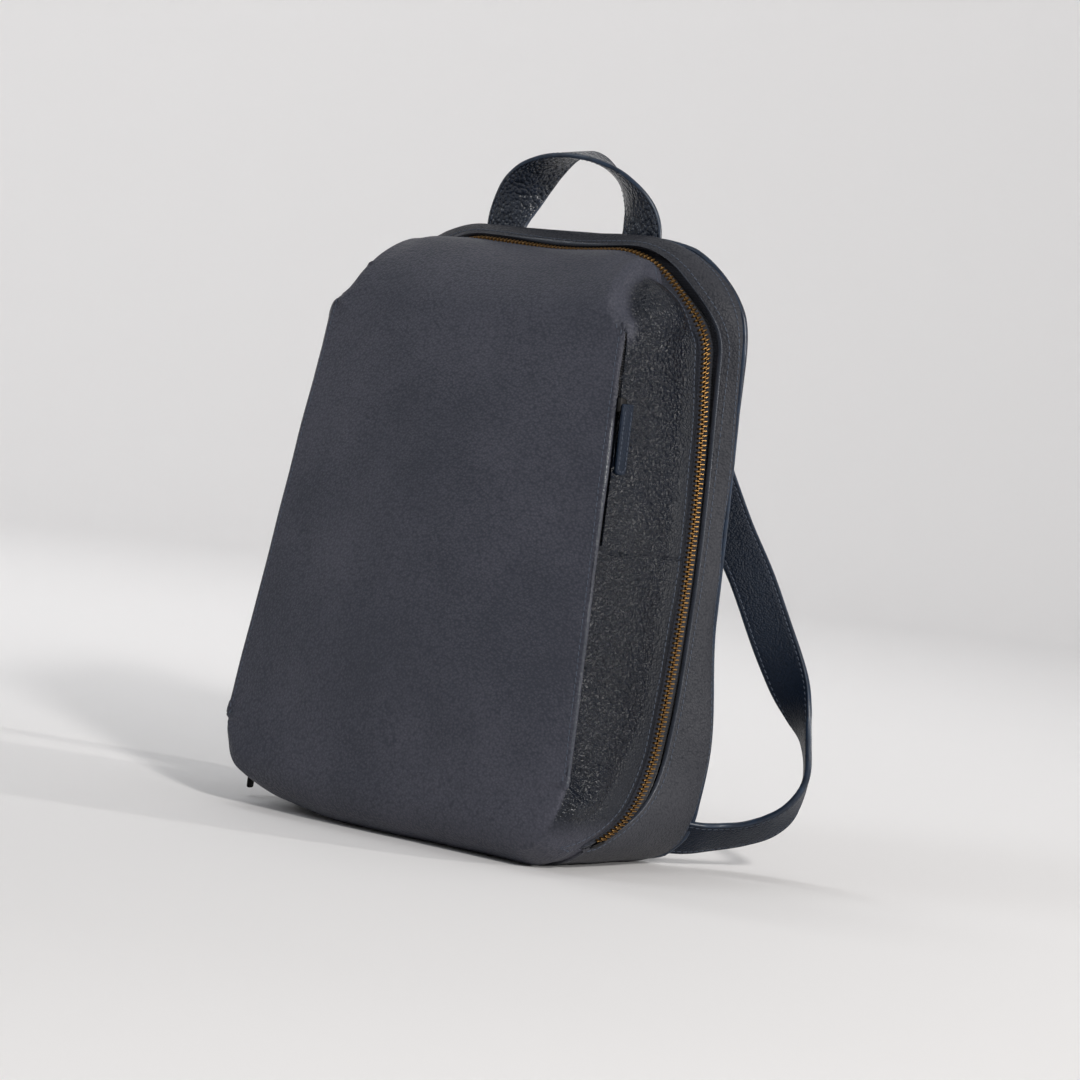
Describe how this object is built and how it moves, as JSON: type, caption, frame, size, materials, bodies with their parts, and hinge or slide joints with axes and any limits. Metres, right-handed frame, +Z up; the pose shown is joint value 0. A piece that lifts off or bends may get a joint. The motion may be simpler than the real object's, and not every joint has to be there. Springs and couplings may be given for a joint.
{
  "type": "leather backpack",
  "caption": "Slim leather backpack with a zip round three sides, a side pocket, a top handle and two shoulder straps.",
  "frame": {"origin": "on the floor under the middle of the flat base", "axes": "+Z up, -Y towards the front panel, +X to the right as seen from the front"},
  "size_m": [0.4164, 0.191, 0.4494],
  "materials": {
    "front_leather": "smooth fine-grained navy leather, satin",
    "side_leather": "pebbled dark navy leather with a soft gloss",
    "strap_leather": "smooth navy strap leather with painted blue edges",
    "lining_fabric": "plain woven dark lining",
    "foam": "soft closed-cell foam padding",
    "stiffener": "matt fibre board",
    "zip_tape": "woven dark navy zip tape",
    "zip_brass": "antique brass zip teeth, slightly worn",
    "dark_metal": "dark gunmetal hardware"
  },
  "bodies": {
    "back_shell": {"back_panel": "front_leather", "back_padding": "foam", "back_lining": "lining_fabric", "back_gusset": "side_leather", "gusset_lining": "lining_fabric", "base_panel": "side_leather", "base_board": "stiffener", "base_lining": "lining_fabric", "laptop_sleeve": "lining_fabric", "inner_pocket": "lining_fabric", "zip_tape_back": "zip_tape", "zip_teeth_back": "zip_brass", "zip_end_stop_left": "zip_brass", "zip_end_stop_right": "zip_brass", "handle_foot_left": "strap_leather", "handle_foot_right": "strap_leather", "strap_tab_upper_left": "strap_leather", "strap_tab_upper_right": "strap_leather", "strap_tab_lower_left": "strap_leather", "strap_tab_lower_right": "strap_leather"},
    "front_shell": {"front_panel": "front_leather", "front_padding": "foam", "front_lining": "lining_fabric", "side_panel_lower_left": "side_leather", "side_panel_upper_left": "side_leather", "side_panel_lower_right": "side_leather", "side_panel_upper_right": "side_leather", "side_lining_left": "lining_fabric", "side_lining_right": "lining_fabric", "edge_seam_left": "front_leather", "edge_seam_right": "front_leather", "zip_tape_front": "zip_tape", "zip_teeth_front": "zip_brass", "pocket_zip_tape": "zip_tape", "pocket_zip_teeth": "dark_metal", "side_pocket_bag": "lining_fabric"},
    "handle": {"handle_strap": "strap_leather"},
    "strap_left": {"shoulder_strap_left": "strap_leather", "strap_adjuster_left": "dark_metal"},
    "strap_right": {"shoulder_strap_right": "strap_leather", "strap_adjuster_right": "dark_metal"},
    "lower_slider": {"zip_slider_lower": "dark_metal"},
    "upper_slider": {"zip_slider_upper": "dark_metal"},
    "lower_pull": {"zip_pull_lower": "dark_metal"},
    "upper_pull": {"zip_pull_upper": "dark_metal"},
    "pocket_slider": {"pocket_slider": "dark_metal"},
    "pocket_pull": {"pocket_pull": "side_leather"}
  },
  "joints": [
    {"name": "front_opening", "type": "hinge", "parent": "back_shell", "child": "front_shell", "pos_m": [0, -0.0365, 0.014], "axis": [1, 0, 0], "range_deg": [0, 50]},
    {"name": "handle_swing", "type": "hinge", "parent": "back_shell", "child": "handle", "pos_m": [0, 0.061, 0.402], "axis": [1, 0, 0], "range_deg": [-65, 65]},
    {"name": "strap_swing_right", "type": "hinge", "parent": "back_shell", "child": "strap_right", "pos_m": [0.052, 0.08, 0.345], "axis": [-0.3442, -0.0265, 0.9385], "range_deg": [-15, 85]},
    {"name": "strap_swing_left", "type": "hinge", "parent": "back_shell", "child": "strap_left", "pos_m": [-0.052, 0.08, 0.345], "axis": [0.3442, -0.0265, 0.9385], "range_deg": [-85, 15]},
    {"name": "lower_slider_run", "type": "hinge", "parent": "back_shell", "child": "lower_slider", "pos_m": [0, -0.075, 0.0956], "axis": [1, 0, 0], "range_deg": [-4, 0]},
    {"name": "upper_slider_run", "type": "hinge", "parent": "back_shell", "child": "upper_slider", "pos_m": [0, -0.075, 0.0956], "axis": [1, 0, 0], "range_deg": [0, 28]},
    {"name": "lower_pull_swing", "type": "hinge", "parent": "lower_slider", "child": "lower_pull", "pos_m": [-0.1508, -0.02047, 0.024], "axis": [0, 1, 0], "range_deg": [0, 150]},
    {"name": "upper_pull_swing", "type": "hinge", "parent": "upper_slider", "child": "upper_pull", "pos_m": [-0.1508, -0.00669, 0.037], "axis": [0, 1, 0], "range_deg": [0, 150]},
    {"name": "pocket_slider_run", "type": "slide", "parent": "front_shell", "child": "pocket_slider", "axis": [-0.0799, 0.1227, 0.9892], "range_m": [-0.08, 0.035]},
    {"name": "pocket_pull_swing", "type": "hinge", "parent": "pocket_slider", "child": "pocket_pull", "pos_m": [0.1231, -0.0345, 0.285], "axis": [0, -1, 0], "range_deg": [0, 150]}
  ]
}
